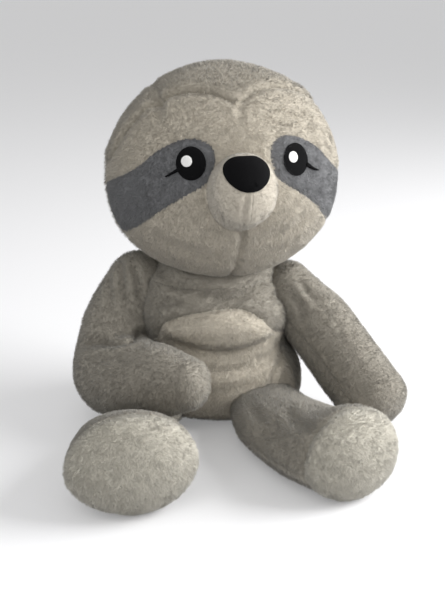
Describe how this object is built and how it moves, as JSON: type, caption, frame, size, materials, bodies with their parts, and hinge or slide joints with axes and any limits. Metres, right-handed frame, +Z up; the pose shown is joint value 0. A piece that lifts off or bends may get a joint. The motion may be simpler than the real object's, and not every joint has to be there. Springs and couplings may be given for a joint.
{
  "type": "plush sloth",
  "caption": "Seated plush sloth with a large round head, dark eye patches, embroidered eyes and nose, long floppy arms and short legs with pale soles.",
  "frame": {"origin": "on the floor under the seat, at the middle of the neck's width", "axes": "+Z up, the toy faces -Y, +X towards the toy's own left"},
  "size_m": [0.3423, 0.3259, 0.3719],
  "materials": {
    "fibre": "white polyester fibre stuffing",
    "pellets": "cloth bag of plastic pellets",
    "cream_pile": "cream short pile plush cloth",
    "muzzle_velour": "cream low pile velour",
    "grey_pile": "warm grey short pile plush cloth",
    "crown_pile": "taupe short pile plush cloth",
    "patch_pile": "dark blue-grey short pile plush cloth",
    "black_thread": "black satin stitch embroidery",
    "white_thread": "white satin stitch embroidery"
  },
  "bodies": {
    "torso": {"seat_panel": "grey_pile", "belly": "cream_pile", "chest": "grey_pile", "back_left": "grey_pile", "back_right": "grey_pile", "pellet_bag": "pellets", "torso_stuffing": "fibre"},
    "neck": {"neck_front": "grey_pile", "neck_back": "grey_pile", "neck_stuffing": "fibre"},
    "head": {"head_stuffing": "fibre", "forehead": "cream_pile", "cheek_left": "cream_pile", "cheek_right": "cream_pile", "eye_patch_left": "patch_pile", "eye_patch_right": "patch_pile", "crown": "crown_pile", "head_side_left": "crown_pile", "head_side_right": "crown_pile", "muzzle_left": "muzzle_velour", "muzzle_right": "muzzle_velour", "muzzle_stuffing": "fibre", "nose": "black_thread", "eye_left": "black_thread", "eye_right": "black_thread", "eye_glint_left": "white_thread", "eye_glint_right": "white_thread"},
    "arm_left": {"arm_left_outer": "grey_pile", "arm_left_inner": "grey_pile", "arm_left_stuffing": "fibre"},
    "arm_right": {"arm_right_outer": "grey_pile", "arm_right_inner": "grey_pile", "arm_right_stuffing": "fibre"},
    "leg_left": {"leg_left_sole": "cream_pile", "leg_left_top": "grey_pile", "leg_left_under": "grey_pile", "leg_left_stuffing": "fibre"},
    "leg_right": {"leg_right_sole": "cream_pile", "leg_right_top": "grey_pile", "leg_right_under": "grey_pile", "leg_right_stuffing": "fibre"}
  },
  "joints": [
    {"name": "neck_turn", "type": "hinge", "parent": "torso", "child": "neck", "pos_m": [0, 0.002, 0.176], "axis": [0, 0, 1], "range_deg": [-20, 20], "stiffness_Nm_per_rad": 1.5},
    {"name": "neck_nod", "type": "hinge", "parent": "neck", "child": "head", "pos_m": [0, 0.002, 0.176], "axis": [1, 0, 0], "range_deg": [-8, 6], "stiffness_Nm_per_rad": 6},
    {"name": "shoulder_left", "type": "hinge", "parent": "torso", "child": "arm_left", "pos_m": [0.064, 0.005, 0.124], "axis": [-0.635, -0.7725, 0], "range_deg": [0, 35]},
    {"name": "shoulder_right", "type": "hinge", "parent": "torso", "child": "arm_right", "pos_m": [-0.087, 0.005, 0.135], "axis": [-1, 0, 0], "range_deg": [0, 24]},
    {"name": "hip_left", "type": "hinge", "parent": "torso", "child": "leg_left", "pos_m": [0.048, -0.06, 0.02], "axis": [0, 0, -1], "range_deg": [0, 10]},
    {"name": "hip_right", "type": "hinge", "parent": "torso", "child": "leg_right", "pos_m": [-0.062, -0.06, 0.02], "axis": [0, 0, 1], "range_deg": [0, 10]}
  ]
}
